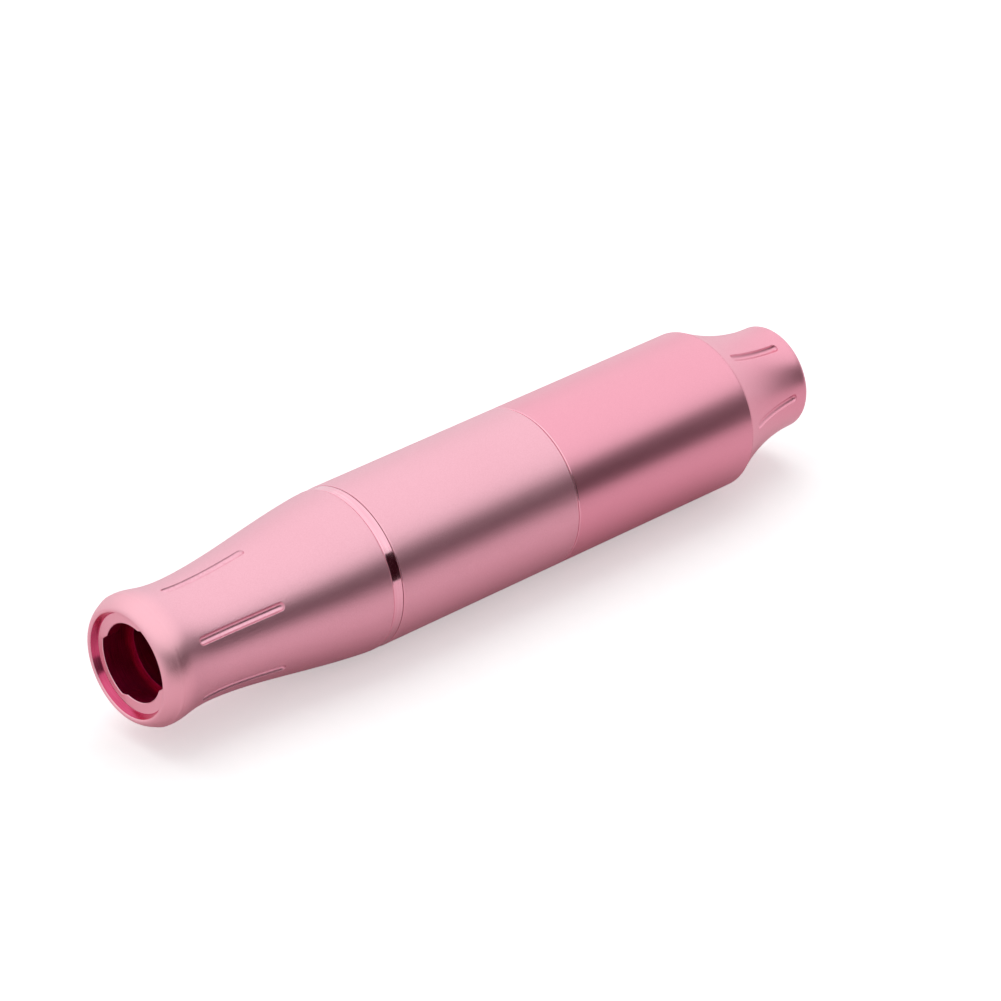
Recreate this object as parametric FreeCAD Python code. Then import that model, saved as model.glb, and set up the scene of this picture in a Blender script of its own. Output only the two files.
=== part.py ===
import FreeCAD, Part
import math
import os
from FreeCAD import Vector

# A cartridge rotary pen machine, lying on its side. Its axis runs along X, with the nose towards -X and the
# jack towards +X, and the barrel rests on the XY plane. Every length is in millimetres. Places along the
# pen are given as the distance behind the front rim, and radii are taken from the pen's own axis.

# Outside of the body
body_r = 10.5
grip_length = 33.0
ring_length = 1.4
mid_barrel_length = 29.1
rear_barrel_length = 30.3
tail_length = 13.8
edge_break = 0.15
ring_inset = 0.05
margin = 1.0

# Outline of the grip
rim_r = 7.05
crest_r = 8.42
crest_u = 2.6
waist_r = 7.74
waist_u = 8.6
lip_rise = 0.33
lip_lead = 0.56
dip_lead = 0.25
dip_trail = 0.45
flare_lead = 0.3
flare_trail = 0.64
flare_rise = 0.76

# Outline of the tail
tail_end_r = 6.9
tail_slope = 0.53
tail_edge_r = 0.6

# Finger grooves in the grip and the tail
groove_count = 6
groove_width = 1.1
groove_depth = 0.4
grip_groove_front = 5.8
grip_groove_back = 18.3
grip_groove_turn = 30.0
tail_groove_front = 2.1
tail_groove_back = 11.6
tail_groove_turn = 3.0

# Cartridge socket in the nose
recess_r = 6.75
recess_floor_r = 6.45
recess_depth = 1.05
tooth_r = 5.02
tooth_length = 1.9
tooth_span = 84.0
tooth_centre = 118.5
tooth_ramp = 10.0
lug_r = 5.64
lug_chamber_length = 2.3
socket_r = 5.0
socket_length = 9.0
socket_edge = 0.2

# Depth adjustment between the grip and the front sleeve
stem_r = 6.6
stem_gap = 1.2
turning_fit = 0.03
ring_seat_r = 8.0
o_ring_wire_r = 0.75
o_ring_from_back = 3.2
o_ring_side_fit = 0.05

# Barrels and the way they screw together
barrel_bore_r = 8.6
spigot_r = 9.28
spigot_length = 6.0
screwed_fit = 0.02

# Drive bar, its bush and its seal
bar_r = 1.5
bar_tip_gap = 0.4
stroke = 3.0
bush_r = 3.6
bush_length = 8.0
bush_lip_r = 2.8
bush_lip_length = 0.8
bar_seal_wire_r = 0.5
bar_seal_seat_r = 2.6
bar_seal_seat_depth = 1.2
sleeve_bore_r = 4.2
sleeve_pocket_r = 7.0

# Head of the drive bar, with the roller that rides on the cam
head_r = 6.2
head_length = 6.9
head_from_pocket = 2.5
roller_r = 2.5
roller_width = 2.3
roller_offset = 3.6
roller_side_gap = 0.1
roller_overhang = 1.1
roller_nose_gap = 0.6
roller_pin_r = 1.0
roller_edge_r = 0.25
cheek = 1.1
guide_pin_r = 0.75
guide_pin_drop = 2.5
guide_pin_reach = 7.8
guide_pin_from_back = 1.6
guide_pin_from_front = 0.55
guide_slot_fit = 0.05

# Drive housing, which carries the motor
housing_bore_r = 6.8
housing_flange = 1.9
housing_front_gap = 0.1
pilot_r = 3.0
pilot_length = 1.6

# Swash cam
cam_r = 6.2
cam_behind = 1.6
cam_low_wall = 1.8
cam_clearance = 0.1
cam_screw_r = 1.0
cam_screw_from_back = 1.5
cam_screw_inset = 0.5

# Motor
motor_r = 8.0
lead_room = 4.0
can_wall = 0.8
can_front_wall = 1.0
shaft_r = 1.0
shaft_front_gap = 0.8
motor_bush_r = 2.2
motor_bush_floor = 0.7
magnet_r = 4.8
magnet_bore_r = 1.6
air_gap = 0.4
coil_wall = 1.1
coil_web = 1.5
commutator_r = 1.9
commutator_length = 1.8
commutator_room = 3.8
end_cap_plug = 1.4
end_cap_flange = 1.8
motor_screw_r = 1.0
motor_screw_head_r = 1.9
motor_screw_head = 0.9
motor_screw_circle_r = 5.4
terminal_reach = 2.0
terminal_offset = 3.5
terminal_thickness = 0.4
terminal_width = 1.8
terminal_hold = 1.4
brush_thickness = 0.3
brush_width = 1.6
brush_gap = 0.4
brush_hold = 0.6
damper_length = 2.0
damper_from_back = 4.0

# Jack in the tail
jack_contact_r = 4.15
jack_contact_length = 8.3
jack_recess = 1.0
jack_flange_r = 5.4
jack_flange = 1.0
jack_edge = 0.3
jack_throat = 0.6
jack_bush_r = 4.0
jack_bush_length = 6.2
jack_well_r = 5.9
jack_insulator_r = 3.5
jack_insulator_inset = 0.6
jack_mouth_r = 1.75
centre_contact_r = 2.1
centre_bore_r = 1.6
centre_bore_length = 7.5
centre_contact_inset = 0.4
centre_floor = 1.0
solder_pin_r = 0.7
solder_pin_reach = 2.5
tail_web = 1.8
tail_cavity_r = 7.6
nut_flats = 10.0
nut_length = 2.0
tag_thickness = 0.4
tag_width = 1.6
tag_reach = 4.5
tag_gap = 0.15
wire_r = 0.55
wire_bend_share = 0.45

# Slopes and radii worked out from the sizes above
swash_slope = stroke / (2 * roller_offset)
roller_reach = roller_offset + roller_width / 2
coil_outer_r = magnet_r + air_gap + coil_wall
nut_corner_r = nut_flats / math.sqrt(3)
tag_y = nut_corner_r + tag_gap + tag_thickness / 2

# Stations along the body, from the front rim back
ring_front = grip_length
mid_front = ring_front + ring_length
rear_front = mid_front + mid_barrel_length
tail_front = rear_front + rear_barrel_length
tail_back = tail_front + tail_length

# Stations in the nose
tooth_back = recess_depth + tooth_length
socket_front = tooth_back + lug_chamber_length
socket_back = socket_front + socket_length
stem_front = socket_back + stem_gap
bush_front = stem_front + bush_lip_length
bar_front = socket_back + bar_tip_gap

# Stations of the drive, from the housing's front back. The roller stands one stroke ahead of the swash
# face's high side at rest, so at its full stroke it just clears that side.
sleeve_back = mid_front + spigot_length
housing_front = sleeve_back + housing_front_gap
guide_pin_u = housing_front + guide_pin_from_front + guide_pin_r
head_back = guide_pin_u + guide_pin_from_back
head_front = head_back - head_length
pocket_front = head_front - head_from_pocket
roller_rear = head_back + roller_overhang
roller_u = roller_rear - roller_r
swash_u = roller_rear + stroke + cam_clearance + roller_reach * swash_slope
cam_back = swash_u + cam_r * swash_slope + cam_low_wall
flange_front = cam_back + cam_behind
motor_front = flange_front + housing_flange

# Stations of the jack, from the tail's end forwards
jack_front = tail_back - jack_recess
flange_back = jack_front - jack_contact_length
web_back = flange_back - jack_flange
web_inner = web_back - tail_web
tag_front = web_inner - tag_thickness
nut_front = tag_front - nut_length
centre_front = jack_front - centre_contact_inset - jack_insulator_inset
centre_back = centre_front - centre_bore_length - centre_floor
jack_bush_front = web_back - jack_bush_length
solder_front = jack_bush_front - solder_pin_reach

# Stations of the motor, which fills the room up to its leads
terminal_back = solder_front - lead_room
cap_back = terminal_back - terminal_reach
motor_back = cap_back - end_cap_flange
commutator_back = motor_back - end_cap_plug - commutator_room
commutator_front = commutator_back - commutator_length
web_front = commutator_front - coil_web
magnet_front = motor_front + can_front_wall
magnet_back = web_front - air_gap


def place(u, y=0.0, z=0.0):
    """A point u behind the front rim, and y and z from the pen's axis."""
    return Vector(u - tail_back / 2, y, z + body_r)


def around(u, r, turn):
    """A point at radius r, turned from the -Y side up towards +Z, in degrees."""
    angle = math.radians(turn)
    return place(u, -r * math.cos(angle), r * math.sin(angle))


def line(a, b):
    """A straight edge between two (u, r) points of an outline."""
    return Part.makeLine(place(a[0], 0, a[1]), place(b[0], 0, b[1]))


def curve(poles):
    """A Bezier edge on the (u, r) poles of an outline."""
    bezier = Part.BezierCurve()
    bezier.setPoles([place(u, 0, r) for u, r in poles])
    return bezier.toShape()


def lines(points):
    return [line(a, b) for a, b in zip(points, points[1:])]


def spin(edges):
    """The solid that a closed outline sweeps around the pen's axis."""
    face = Part.Face(Part.Wire(edges))
    return face.revolve(place(0), Vector(1, 0, 0), 360)


def turned(points):
    return spin(lines(points + points[:1]))


def tube(front, back, outer, inner):
    return turned([(front, inner), (front, outer), (back, outer), (back, inner)])


def rod(front, back, radius, y=0.0, z=0.0):
    return Part.makeCylinder(radius, back - front, place(front, y, z), Vector(1, 0, 0))


def block(front, back, width, height, y=0.0, z=0.0):
    """A box centred on y and z."""
    corner = place(front, y - width / 2, z - height / 2)
    return Part.makeBox(back - front, width, height, corner)


def o_ring(u, inner, wire):
    """A ring of round section whose hole has the given radius."""
    return Part.makeTorus(inner + wire, wire, place(u), Vector(1, 0, 0))


def save(name, *solids):
    shape = solids[0] if len(solids) == 1 else Part.makeCompound(list(solids))
    shape.exportStep("parts/" + name + ".step")


def bezier_point(poles, t):
    weights = [(1 - t) ** 3, 3 * t * (1 - t) ** 2, 3 * t * t * (1 - t), t ** 3]
    u = sum(w * p[0] for w, p in zip(weights, poles))
    r = sum(w * p[1] for w, p in zip(weights, poles))
    return u, r


def radius_at(curves, u):
    """The radius of an outline at u. The curves run from front to back."""
    for poles in curves:
        if u <= poles[-1][0]:
            low, high = 0.0, 1.0
            for _ in range(40):
                middle = (low + high) / 2
                if bezier_point(poles, middle)[0] < u:
                    low = middle
                else:
                    high = middle
            return bezier_point(poles, low)[1]
    return curves[-1][-1][1]


def between(a, b, along, across):
    """A point a share of the way from a to b, along and across the pen."""
    return a[0] + (b[0] - a[0]) * along, a[1] + (b[1] - a[1]) * across


def grip_curves():
    rim = (0.0, rim_r)
    crest = (crest_u, crest_r)
    waist = (waist_u, waist_r)
    back = (grip_length - edge_break, body_r)
    lip = [rim, between(rim, crest, 0, lip_rise), between(rim, crest, lip_lead, 1), crest]
    dip = [crest, between(crest, waist, dip_lead, 0), between(crest, waist, dip_trail, 1), waist]
    end = between(waist, back, flare_trail, flare_rise)
    flare = [waist, between(waist, back, flare_lead, 0), end, back]
    return [lip, dip, flare]


def tail_curves():
    shoulder = (tail_front, body_r)
    neck = (tail_back - tail_edge_r, tail_end_r)
    handle = (neck[0] - shoulder[0]) / 3
    first = (shoulder[0] + handle, shoulder[1] - handle * tail_slope)
    return [[shoulder, first, (neck[0] - handle, tail_end_r), neck]]


def groove_cutters(curves, front, back, first_turn):
    """Round-bottomed cutters that follow an outline, with a ball at each end."""
    cutter_r = (groove_width ** 2 / 4 + groove_depth ** 2) / (2 * groove_depth)
    lift = cutter_r - groove_depth
    start = front + groove_width / 2
    length = back - front - groove_width
    stations = [start + length * i / 6 for i in range(7)]
    cutters = []
    for i in range(groove_count):
        turn = first_turn + i * 360.0 / groove_count
        points = [around(u, radius_at(curves, u) + lift, turn) for u in stations]
        path = Part.BSplineCurve()
        path.interpolate(points)
        along = path.tangent(path.FirstParameter)[0]
        circle = Part.Wire(Part.makeCircle(cutter_r, points[0], along))
        pipe = Part.Wire(path.toShape()).makePipeShell([circle], True, False)
        cutters.append(pipe)
        cutters += [Part.makeSphere(cutter_r, p) for p in (points[0], points[-1])]
    return cutters


def notch_cutter(centre):
    """Opens the bore from the teeth's radius to the lugs' over one notch, with a ramp at each end."""
    half = (180.0 - tooth_span) / 2
    u = recess_depth - margin
    inner = tooth_r - margin
    low = centre - half
    high = centre + half
    edges = [
        Part.makeLine(around(u, inner, low), around(u, tooth_r, low)),
        Part.makeLine(around(u, tooth_r, low), around(u, lug_r, low + tooth_ramp)),
        Part.Arc(
            around(u, lug_r, low + tooth_ramp),
            around(u, lug_r, centre),
            around(u, lug_r, high - tooth_ramp),
        ).toShape(),
        Part.makeLine(around(u, lug_r, high - tooth_ramp), around(u, tooth_r, high)),
        Part.makeLine(around(u, tooth_r, high), around(u, inner, high)),
        Part.makeLine(around(u, inner, high), around(u, inner, low)),
    ]
    return Part.Face(Part.Wire(edges)).extrude(Vector(tooth_length + 2 * margin, 0, 0))


def grip_shell():
    skirt_r = stem_r + turning_fit
    skirt_front = socket_back + socket_edge
    curves = grip_curves()
    inside = [
        (grip_length, body_r - edge_break),
        (grip_length, skirt_r + edge_break),
        (grip_length - edge_break, skirt_r),
        (skirt_front, skirt_r),
        (skirt_front, socket_r + socket_edge),
        (socket_back, socket_r),
        (socket_front, socket_r),
        (socket_front, lug_r),
        (tooth_back, lug_r),
        (tooth_back, tooth_r),
        (recess_depth, tooth_r),
        (recess_depth, recess_floor_r),
        (edge_break, recess_r),
        (0.0, rim_r),
    ]
    outside = [curve(poles) for poles in curves]
    rear_edge = line((grip_length - edge_break, body_r), (grip_length, body_r - edge_break))
    shell = spin(outside + [rear_edge] + lines(inside))
    ring_u = grip_length - o_ring_from_back
    half = o_ring_wire_r + o_ring_side_fit
    groove_r = stem_r + 2 * o_ring_wire_r + 2 * turning_fit
    cutters = [tube(ring_u - half, ring_u + half, groove_r, skirt_r - margin)]
    cutters += [notch_cutter(tooth_centre + 90), notch_cutter(tooth_centre - 90)]
    cutters += groove_cutters(curves, grip_groove_front, grip_groove_back, grip_groove_turn)
    return shell.cut(cutters)


def grip_o_ring():
    return o_ring(grip_length - o_ring_from_back, stem_r + turning_fit, o_ring_wire_r)


def front_sleeve():
    """Screwed into the mid barrel. The grip turns on its stem, and the trim ring sits on its step."""
    return turned([
        (stem_front + edge_break, stem_r - edge_break),
        (stem_front + 2 * edge_break, stem_r),
        (ring_front, stem_r),
        (ring_front, ring_seat_r),
        (mid_front, ring_seat_r),
        (mid_front, spigot_r),
        (sleeve_back, spigot_r),
        (sleeve_back, sleeve_pocket_r),
        (pocket_front, sleeve_pocket_r),
        (pocket_front, sleeve_bore_r),
        (bush_front + bush_length, sleeve_bore_r),
        (bush_front + bush_length, bush_r + screwed_fit),
        (bush_front, bush_r + screwed_fit),
        (bush_front, bush_lip_r),
        (stem_front + edge_break, bush_lip_r),
    ])


def trim_ring():
    outer = body_r - ring_inset
    return turned([
        (ring_front, ring_seat_r + screwed_fit),
        (ring_front, outer - edge_break),
        (ring_front + edge_break, outer),
        (mid_front - edge_break, outer),
        (mid_front, outer - edge_break),
        (mid_front, ring_seat_r + screwed_fit),
    ])


def bar_bush():
    seat = bush_front + bar_seal_seat_depth
    return turned([
        (bush_front, bar_seal_seat_r),
        (bush_front, bush_r),
        (bush_front + bush_length, bush_r),
        (bush_front + bush_length, bar_r + turning_fit),
        (seat, bar_r + turning_fit),
        (seat, bar_seal_seat_r),
    ])


def bar_seal():
    return o_ring(bush_front + bar_seal_seat_depth / 2, bar_r + turning_fit, bar_seal_wire_r)


def drive_bar():
    """A rod that pushes the needle, and a head with a slot for the roller at its back."""
    slot_front = roller_u - roller_r - roller_nose_gap
    slot = roller_width + 2 * roller_side_gap
    tip = Part.makeSphere(bar_r, place(bar_front + bar_r))
    rod_part = rod(bar_front + bar_r, head_front + margin, bar_r)
    head = rod(head_front, head_back, head_r)
    cutters = [
        block(slot_front, head_back + margin, 2 * head_r, slot, 0, roller_offset),
        block(slot_front, head_back + margin, 2 * head_r, head_r, 0, roller_reach + cheek + head_r / 2),
        block(slot_front, head_back + margin, 2 * head_r, head_r, 0, -guide_pin_drop - cheek - head_r / 2),
        roller_pin(),
        guide_pin(),
    ]
    return tip.fuse([rod_part, head]).removeSplitter().cut(cutters)


def roller_pin():
    """Stands across the slot in the head, from the rod's line outwards."""
    foot = roller_offset - roller_width / 2 - roller_side_gap - cheek
    length = roller_width + 2 * roller_side_gap + 2 * cheek
    return Part.makeCylinder(roller_pin_r, length, place(roller_u, 0, foot), Vector(0, 0, 1))


def cam_roller():
    """A small ball bearing used as a roller, with rounded edges."""
    foot = place(roller_u, 0, roller_offset - roller_width / 2)
    up = Vector(0, 0, 1)
    disc = Part.makeCylinder(roller_r, roller_width, foot, up)
    rims = [edge for edge in disc.Edges if edge.Curve.TypeId == "Part::GeomCircle"]
    disc = disc.makeFillet(roller_edge_r, rims)
    return disc.cut(Part.makeCylinder(roller_pin_r + turning_fit, roller_width, foot, up))


def guide_pin():
    """Crosses the head, and its ends run in the housing's slots so that the bar can't turn."""
    start = place(guide_pin_u, -guide_pin_reach, -guide_pin_drop)
    return Part.makeCylinder(guide_pin_r, 2 * guide_pin_reach, start, Vector(0, 1, 0))


def motor_screw_places():
    return [(0.0, motor_screw_circle_r), (0.0, -motor_screw_circle_r)]


def motor_screw(y, z):
    """A countersunk screw through the housing's flange into the motor's face."""
    head_back_u = flange_front + motor_screw_head
    straight = rod(head_back_u, motor_front + can_front_wall, motor_screw_r, y, z)
    head = Part.makeCone(
        motor_screw_head_r, motor_screw_r, motor_screw_head, place(flange_front, y, z), Vector(1, 0, 0)
    )
    return straight.fuse(head).removeSplitter()


def drive_housing():
    """A tube that guides the bar's cross pin, closed by the flange that the motor is screwed to."""
    outer = barrel_bore_r - screwed_fit
    body = turned([
        (housing_front, housing_bore_r),
        (housing_front, outer),
        (flange_front, outer),
        (flange_front, spigot_r),
        (motor_front, spigot_r),
        (motor_front, pilot_r + screwed_fit),
        (flange_front, pilot_r + screwed_fit),
        (flange_front, housing_bore_r),
    ])
    slot_back = guide_pin_u + stroke + guide_pin_r + guide_slot_fit
    height = 2 * (guide_pin_r + guide_slot_fit)
    slots = block(housing_front - margin, slot_back, 2 * body_r, height, 0, -guide_pin_drop)
    return body.cut([slots] + [motor_screw(y, z) for y, z in motor_screw_places()])


def swash_cam():
    """A cylinder on the motor's shaft with a sloping front face, lowest towards the roller."""
    body = rod(swash_u - cam_r * swash_slope - margin, cam_back, cam_r)
    face_tilt = math.degrees(math.atan(swash_slope))
    size = 4 * cam_r
    cutter = Part.makeBox(size, size, size, place(swash_u - size, -size / 2, -size / 2))
    cutter.rotate(place(swash_u), Vector(0, 1, 0), face_tilt)
    hole = rod(swash_u - cam_r, cam_back + margin, shaft_r + screwed_fit)
    return body.cut([cutter, hole, cam_set_screw()])


def cam_set_screw():
    u = cam_back - cam_screw_from_back
    start = place(u, 0, -shaft_r - screwed_fit)
    length = cam_r - shaft_r - cam_screw_inset
    return Part.makeCylinder(cam_screw_r, length, start, Vector(0, 0, -1))


def motor_shaft():
    return rod(swash_u + shaft_front_gap, motor_back + end_cap_flange / 2, shaft_r)


def motor_can():
    inner = motor_r - can_wall
    shell = turned([
        (motor_front - pilot_length, motor_bush_r + screwed_fit),
        (motor_front - pilot_length, pilot_r),
        (motor_front, pilot_r),
        (motor_front, motor_r),
        (motor_back, motor_r),
        (motor_back, inner),
        (magnet_front, inner),
        (magnet_front, motor_bush_r + screwed_fit),
    ])
    return shell.cut([motor_screw(y, z) for y, z in motor_screw_places()])


def motor_front_bush():
    return tube(motor_front - pilot_length, magnet_front, motor_bush_r, shaft_r + turning_fit)


def motor_magnet():
    return tube(magnet_front, magnet_back, magnet_r, magnet_bore_r)


def rotor_coil():
    """The winding, a cup around the magnet that is joined to the shaft by its web."""
    inner = magnet_r + air_gap
    hub = shaft_r + screwed_fit
    return turned([
        (magnet_front + 2 * air_gap, inner),
        (magnet_front + 2 * air_gap, coil_outer_r),
        (commutator_front, coil_outer_r),
        (commutator_front, hub),
        (web_front, hub),
        (web_front, inner),
    ])


def commutator():
    return tube(commutator_front, commutator_back, commutator_r, shaft_r + screwed_fit)


def motor_end_cap():
    inner = motor_r - can_wall - screwed_fit
    bush_hole = motor_bush_r + screwed_fit
    cap = turned([
        (motor_back - end_cap_plug, bush_hole),
        (motor_back - end_cap_plug, inner),
        (motor_back, inner),
        (motor_back, motor_r),
        (cap_back, motor_r),
        (cap_back, bush_hole),
    ])
    return cap.cut(motor_brush_solids() + motor_terminal_solids())


def motor_rear_bush():
    sleeve = tube(motor_back - end_cap_plug, cap_back, motor_bush_r, shaft_r + turning_fit)
    plug = rod(cap_back - motor_bush_floor, cap_back, motor_bush_r)
    return sleeve.fuse(plug).removeSplitter()


def motor_brush_solids():
    """Two flat springs that reach forward from the end cap and bear on the commutator."""
    offset = commutator_r + brush_gap + brush_thickness / 2
    front = commutator_front + edge_break
    back = motor_back - end_cap_plug + brush_hold
    return [block(front, back, brush_thickness, brush_width, side * offset) for side in (-1, 1)]


def motor_terminal_solids():
    front = cap_back - terminal_hold
    size = (terminal_thickness, terminal_width)
    return [block(front, terminal_back, *size, side * terminal_offset) for side in (-1, 1)]


def motor_damping_ring(front):
    return tube(front, front + damper_length, barrel_bore_r - screwed_fit, motor_r + screwed_fit)


def mid_barrel():
    """A plain barrel with a socket for the front sleeve and one for the housing and the rear barrel."""
    socket = spigot_r + screwed_fit
    return turned([
        (mid_front, socket),
        (mid_front, body_r - edge_break),
        (mid_front + edge_break, body_r),
        (rear_front - edge_break, body_r),
        (rear_front, body_r - edge_break),
        (rear_front, socket),
        (flange_front, socket),
        (flange_front, barrel_bore_r),
        (sleeve_back, barrel_bore_r),
        (sleeve_back, socket),
    ])


def rear_barrel():
    """Its spigot clamps the housing's flange in the mid barrel, and the tail screws into its back."""
    socket = spigot_r + screwed_fit
    return turned([
        (motor_front, barrel_bore_r),
        (motor_front, spigot_r),
        (rear_front, spigot_r),
        (rear_front, body_r - edge_break),
        (rear_front + edge_break, body_r),
        (tail_front, body_r),
        (tail_front, socket),
        (tail_front - spigot_length, socket),
        (tail_front - spigot_length, barrel_bore_r),
    ])


def tail_cap():
    """Screwed into the rear barrel. Its web holds the jack at the bottom of a well."""
    curves = tail_curves()
    outside = [curve(poles) for poles in curves]
    neck_back = (tail_back - tail_edge_r, tail_end_r)
    edge_end = (tail_back, tail_end_r - tail_edge_r)
    lean = tail_edge_r * (1 - math.sqrt(0.5))
    middle = place(tail_back - lean, 0, tail_end_r - lean)
    start = place(neck_back[0], 0, neck_back[1])
    end = place(edge_end[0], 0, edge_end[1])
    rounding = Part.Arc(start, middle, end).toShape()
    inside = [
        edge_end,
        (tail_back, jack_well_r),
        (web_back, jack_well_r),
        (web_back, jack_bush_r + screwed_fit),
        (web_inner, jack_bush_r + screwed_fit),
        (web_inner, tail_cavity_r),
        (tail_front - spigot_length, tail_cavity_r),
        (tail_front - spigot_length, spigot_r),
        (tail_front, spigot_r),
        (tail_front, body_r),
    ]
    shell = spin(outside + [rounding] + lines(inside))
    front = tail_front + tail_groove_front
    back = tail_front + tail_groove_back
    return shell.cut(groove_cutters(curves, front, back, tail_groove_turn))


def jack_shell():
    """The jack's outer contact, its flange and the threaded bush that passes through the web."""
    bore = jack_insulator_r
    return turned([
        (jack_bush_front, bore - jack_throat),
        (jack_bush_front, jack_bush_r),
        (web_back, jack_bush_r),
        (web_back, jack_flange_r),
        (flange_back, jack_flange_r),
        (flange_back, jack_contact_r),
        (jack_front - jack_edge, jack_contact_r),
        (jack_front, jack_contact_r - jack_edge),
        (jack_front, bore),
        (web_back, bore),
        (web_back, bore - jack_throat),
    ])


def jack_insulator():
    front = jack_front - jack_insulator_inset
    outer = jack_insulator_r - screwed_fit
    return turned([
        (front, jack_mouth_r),
        (centre_front, jack_mouth_r),
        (centre_front, centre_contact_r + screwed_fit),
        (centre_back, centre_contact_r + screwed_fit),
        (centre_back, solder_pin_r + screwed_fit),
        (jack_bush_front, solder_pin_r + screwed_fit),
        (jack_bush_front, outer - jack_throat),
        (web_back, outer - jack_throat),
        (web_back, outer),
        (front, outer),
    ])


def jack_centre_contact():
    """A socket for the plug's pin, with a solder pin at its back."""
    sleeve = rod(centre_back, centre_front, centre_contact_r)
    pin = rod(solder_front, centre_back, solder_pin_r)
    hole = rod(centre_front - centre_bore_length, centre_front + margin, centre_bore_r)
    return sleeve.fuse(pin).removeSplitter().cut(hole)


def jack_ground_tag():
    """A washer with a solder tail that is bent forwards past the nut."""
    hole_r = jack_bush_r + screwed_fit
    washer = tube(tag_front, web_inner, nut_corner_r - tag_gap, hole_r)
    edge = tag_y + tag_thickness / 2
    arm = edge - hole_r - tag_gap
    across = block(tag_front, web_inner, arm, tag_width, edge - arm / 2)
    tail = block(tag_front - tag_reach, web_inner, tag_thickness, tag_width, tag_y)
    return washer.fuse([across, tail]).removeSplitter().cut(rod(tag_front - margin, web_inner + margin, hole_r))


def jack_nut():
    corners = [around(nut_front, nut_corner_r, 60 * i) for i in range(7)]
    prism = Part.Face(Part.makePolygon(corners)).extrude(Vector(nut_length, 0, 0))
    return prism.cut(rod(nut_front - margin, tag_front + margin, jack_bush_r + screwed_fit))


def bend(before, corner, after):
    """The ends and the middle of the arc that rounds a corner of a wire's path."""
    back = (before - corner).normalize()
    ahead = (after - corner).normalize()
    trim = wire_bend_share * min((before - corner).Length, (after - corner).Length)
    half_turn = (math.pi - back.getAngle(ahead)) / 2
    radius = trim / math.tan(half_turn)
    sag = radius / math.cos(half_turn) - radius
    return corner + back * trim, corner + (back + ahead).normalize() * sag, corner + ahead * trim


def lead(start, end):
    """A wire from a motor terminal to the jack: out, across and in, with rounded corners."""
    third = Vector((end[0] - start[0]) / 3, 0, 0)
    first = place(*start)
    last = place(*end)
    leave = bend(first, first + third, last - third)
    arrive = bend(first + third, last - third, last)
    path = Part.Wire([
        Part.makeLine(first, leave[0]),
        Part.Arc(*leave).toShape(),
        Part.makeLine(leave[2], arrive[0]),
        Part.Arc(*arrive).toShape(),
        Part.makeLine(arrive[2], last),
    ])
    circle = Part.Wire(Part.makeCircle(wire_r, first, Vector(1, 0, 0)))
    return path.makePipeShell([circle], True, False)


def leads():
    tag_end = tag_front - tag_reach
    save("positive_lead", lead((terminal_back, -terminal_offset, 0.0), (solder_front, 0.0, 0.0)))
    save("ground_lead", lead((terminal_back, terminal_offset, 0.0), (tag_end, tag_y, 0.0)))


os.makedirs("parts", exist_ok=True)
save("grip_shell", grip_shell())
save("grip_o_ring", grip_o_ring())
save("front_sleeve", front_sleeve())
save("trim_ring", trim_ring())
save("bar_bush", bar_bush())
save("bar_seal", bar_seal())
save("drive_bar", drive_bar())
save("roller_pin", roller_pin())
save("cam_roller", cam_roller())
save("guide_pin", guide_pin())
save("drive_housing", drive_housing())
save("swash_cam", swash_cam())
save("cam_set_screw", cam_set_screw())
save("motor_shaft", motor_shaft())
save("motor_can", motor_can())
save("motor_front_bush", motor_front_bush())
save("motor_magnet", motor_magnet())
save("rotor_coil", rotor_coil())
save("commutator", commutator())
save("motor_end_cap", motor_end_cap())
save("motor_rear_bush", motor_rear_bush())
save("motor_brushes", *motor_brush_solids())
save("motor_terminals", *motor_terminal_solids())
save("motor_screws", *[motor_screw(y, z) for y, z in motor_screw_places()])
save("motor_damping_rings", *[motor_damping_ring(u) for u in (rear_front, motor_back - damper_from_back)])
save("mid_barrel", mid_barrel())
save("rear_barrel", rear_barrel())
save("tail_cap", tail_cap())
save("jack_shell", jack_shell())
save("jack_insulator", jack_insulator())
save("jack_centre_contact", jack_centre_contact())
save("jack_ground_tag", jack_ground_tag())
save("jack_nut", jack_nut())
leads()
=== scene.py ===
# %% [markdown]
# # A rotary cartridge pen machine
# The machine is a slim turned aluminium body, dyed pink, with a grip that screws in and out, a polished
# trim ring, two plain barrels and a waisted tail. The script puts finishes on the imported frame, models
# the five outer shells again with softened edges, and lights them as bare metal is lit in a studio.

import math

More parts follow.
